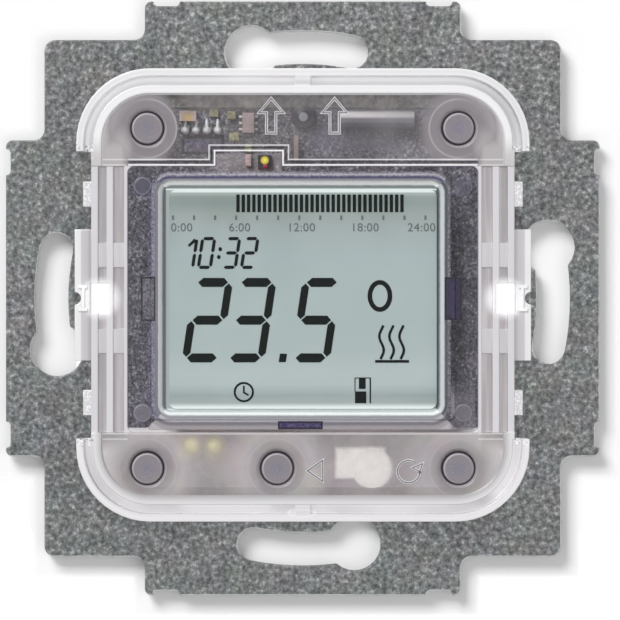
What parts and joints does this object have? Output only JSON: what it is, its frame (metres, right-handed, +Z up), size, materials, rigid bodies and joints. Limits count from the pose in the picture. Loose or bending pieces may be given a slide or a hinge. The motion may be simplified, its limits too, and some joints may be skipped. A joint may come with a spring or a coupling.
{
  "type": "wall thermostat",
  "caption": "Flush wall thermostat insert: square steel mounting plate with curved screw slots, clear front cover with display and push buttons, and a rear housing with screw terminals.",
  "frame": {"origin": "middle of the back face of the mounting plate, which lies on the wall", "axes": "+X to the right seen from the front, +Y into the wall, +Z up"},
  "size_m": [0.071, 0.0365, 0.071],
  "materials": {
    "galvanised_steel": "hot-dip galvanised sheet, fine grey speckle",
    "clear_plastic": "clear polycarbonate, milky where it is thick",
    "housing_plastic": "light grey moulded plastic, fine texture",
    "frame_plastic": "clear moulded plastic with a violet cast",
    "button_plastic": "satin mauve grey",
    "lcd_glass": "display glass",
    "polarizer_film": "grey green reflective display film",
    "elastomer": "striped contact rubber",
    "front_circuit_board": "violet grey solder mask",
    "rear_circuit_board": "green solder mask",
    "black_epoxy": "moulded black component body",
    "tin_plate": "bright tin plating",
    "capacitor_ceramic": "tan fired ceramic",
    "capacitor_cell": "pale sleeve",
    "sensor_bead": "pale yellow coated bead",
    "led_lens": "pale yellow lens",
    "stem_plastic": "white switch plunger",
    "relay_case": "dark blue moulded case",
    "film_capacitor_case": "ochre yellow box",
    "electrolytic_sleeve": "dark sleeve",
    "varistor_coating": "blue dipped coating",
    "fuse_body": "brown moulded fuse",
    "terminal_plastic": "dark grey moulded plastic",
    "zinc_plated_steel": "zinc-plated steel",
    "nickel_plated_brass": "nickel-plated brass",
    "tinned_copper": "copper bar"
  },
  "bodies": {
    "insert": {"mounting_plate": "galvanised_steel", "front_cover": "clear_plastic", "rear_housing": "housing_plastic", "display_frame": "frame_plastic", "lcd_front_polarizer": "polarizer_film", "lcd_front_glass": "lcd_glass", "lcd_rear_glass": "lcd_glass", "lcd_reflector": "polarizer_film", "contact_strip_top": "elastomer", "contact_strip_bottom": "elastomer", "display_board": "front_circuit_board", "microcontroller": "black_epoxy", "crystal": "tin_plate", "backup_capacitor": "capacitor_cell", "temperature_sensor": "sensor_bead", "status_led": "led_lens", "chip_capacitor": "capacitor_ceramic", "header_pins": "tin_plate", "up_switch": "black_epoxy", "down_switch": "black_epoxy", "mode_switch": "black_epoxy", "reset_switch": "black_epoxy", "ok_switch": "black_epoxy", "power_board": "rear_circuit_board", "header_socket": "black_epoxy", "relay": "relay_case", "film_capacitor": "film_capacitor_case", "electrolytic_capacitor": "electrolytic_sleeve", "varistor": "varistor_coating", "fuse": "fuse_body", "terminal_block": "terminal_plastic", "contact_bar_1": "tinned_copper", "contact_bar_2": "tinned_copper", "contact_bar_3": "tinned_copper", "contact_bar_4": "tinned_copper", "contact_bar_5": "tinned_copper", "housing_screw_1": "zinc_plated_steel", "housing_screw_2": "zinc_plated_steel", "housing_screw_3": "zinc_plated_steel", "housing_screw_4": "zinc_plated_steel"},
    "up_key": {"up_button": "button_plastic", "up_switch_stem": "stem_plastic"},
    "down_key": {"down_button": "button_plastic", "down_switch_stem": "stem_plastic"},
    "mode_key": {"mode_button": "button_plastic", "mode_switch_stem": "stem_plastic"},
    "reset_key": {"reset_button": "button_plastic", "reset_switch_stem": "stem_plastic"},
    "ok_key": {"ok_button": "button_plastic", "ok_switch_stem": "stem_plastic"},
    "clamp_screw_1": {"terminal_screw_1": "zinc_plated_steel"},
    "clamp_cage_1": {"terminal_cage_1": "nickel_plated_brass"},
    "clamp_screw_2": {"terminal_screw_2": "zinc_plated_steel"},
    "clamp_cage_2": {"terminal_cage_2": "nickel_plated_brass"},
    "clamp_screw_3": {"terminal_screw_3": "zinc_plated_steel"},
    "clamp_cage_3": {"terminal_cage_3": "nickel_plated_brass"},
    "clamp_screw_4": {"terminal_screw_4": "zinc_plated_steel"},
    "clamp_cage_4": {"terminal_cage_4": "nickel_plated_brass"},
    "clamp_screw_5": {"terminal_screw_5": "zinc_plated_steel"},
    "clamp_cage_5": {"terminal_cage_5": "nickel_plated_brass"}
  },
  "joints": [
    {"name": "up_press", "type": "slide", "parent": "insert", "child": "up_key", "axis": [0, 1, 0], "range_m": [0, 0.0004], "stiffness_N_per_m": 500, "springref_m": -0.002},
    {"name": "down_press", "type": "slide", "parent": "insert", "child": "down_key", "axis": [0, 1, 0], "range_m": [0, 0.0004], "stiffness_N_per_m": 500, "springref_m": -0.002},
    {"name": "mode_press", "type": "slide", "parent": "insert", "child": "mode_key", "axis": [0, 1, 0], "range_m": [0, 0.0004], "stiffness_N_per_m": 500, "springref_m": -0.002},
    {"name": "reset_press", "type": "slide", "parent": "insert", "child": "reset_key", "axis": [0, 1, 0], "range_m": [0, 0.0004], "stiffness_N_per_m": 500, "springref_m": -0.002},
    {"name": "ok_press", "type": "slide", "parent": "insert", "child": "ok_key", "axis": [0, 1, 0], "range_m": [0, 0.0004], "stiffness_N_per_m": 500, "springref_m": -0.002},
    {"name": "cage_lift_1", "type": "slide", "parent": "insert", "child": "clamp_cage_1", "axis": [0, 1, 0], "range_m": [0, 0.002]},
    {"name": "screw_turn_1", "type": "hinge", "parent": "insert", "child": "clamp_screw_1", "pos_m": [-0.0112, 0.02, -0.0169], "axis": [0, -1, 0], "range_deg": [0, 1440]},
    {"name": "cage_lift_2", "type": "slide", "parent": "insert", "child": "clamp_cage_2", "axis": [0, 1, 0], "range_m": [0, 0.002]},
    {"name": "screw_turn_2", "type": "hinge", "parent": "insert", "child": "clamp_screw_2", "pos_m": [-0.0056, 0.02, -0.0169], "axis": [0, -1, 0], "range_deg": [0, 1440]},
    {"name": "cage_lift_3", "type": "slide", "parent": "insert", "child": "clamp_cage_3", "axis": [0, 1, 0], "range_m": [0, 0.002]},
    {"name": "screw_turn_3", "type": "hinge", "parent": "insert", "child": "clamp_screw_3", "pos_m": [0, 0.02, -0.0169], "axis": [0, -1, 0], "range_deg": [0, 1440]},
    {"name": "cage_lift_4", "type": "slide", "parent": "insert", "child": "clamp_cage_4", "axis": [0, 1, 0], "range_m": [0, 0.002]},
    {"name": "screw_turn_4", "type": "hinge", "parent": "insert", "child": "clamp_screw_4", "pos_m": [0.0056, 0.02, -0.0169], "axis": [0, -1, 0], "range_deg": [0, 1440]},
    {"name": "cage_lift_5", "type": "slide", "parent": "insert", "child": "clamp_cage_5", "axis": [0, 1, 0], "range_m": [0, 0.002]},
    {"name": "screw_turn_5", "type": "hinge", "parent": "insert", "child": "clamp_screw_5", "pos_m": [0.0112, 0.02, -0.0169], "axis": [0, -1, 0], "range_deg": [0, 1440]}
  ],
  "couplings": [
    {"joint": "screw_turn_1", "follows": "cage_lift_1", "rad_per_m": 12566},
    {"joint": "screw_turn_2", "follows": "cage_lift_2", "rad_per_m": 12566},
    {"joint": "screw_turn_3", "follows": "cage_lift_3", "rad_per_m": 12566},
    {"joint": "screw_turn_4", "follows": "cage_lift_4", "rad_per_m": 12566},
    {"joint": "screw_turn_5", "follows": "cage_lift_5", "rad_per_m": 12566}
  ]
}
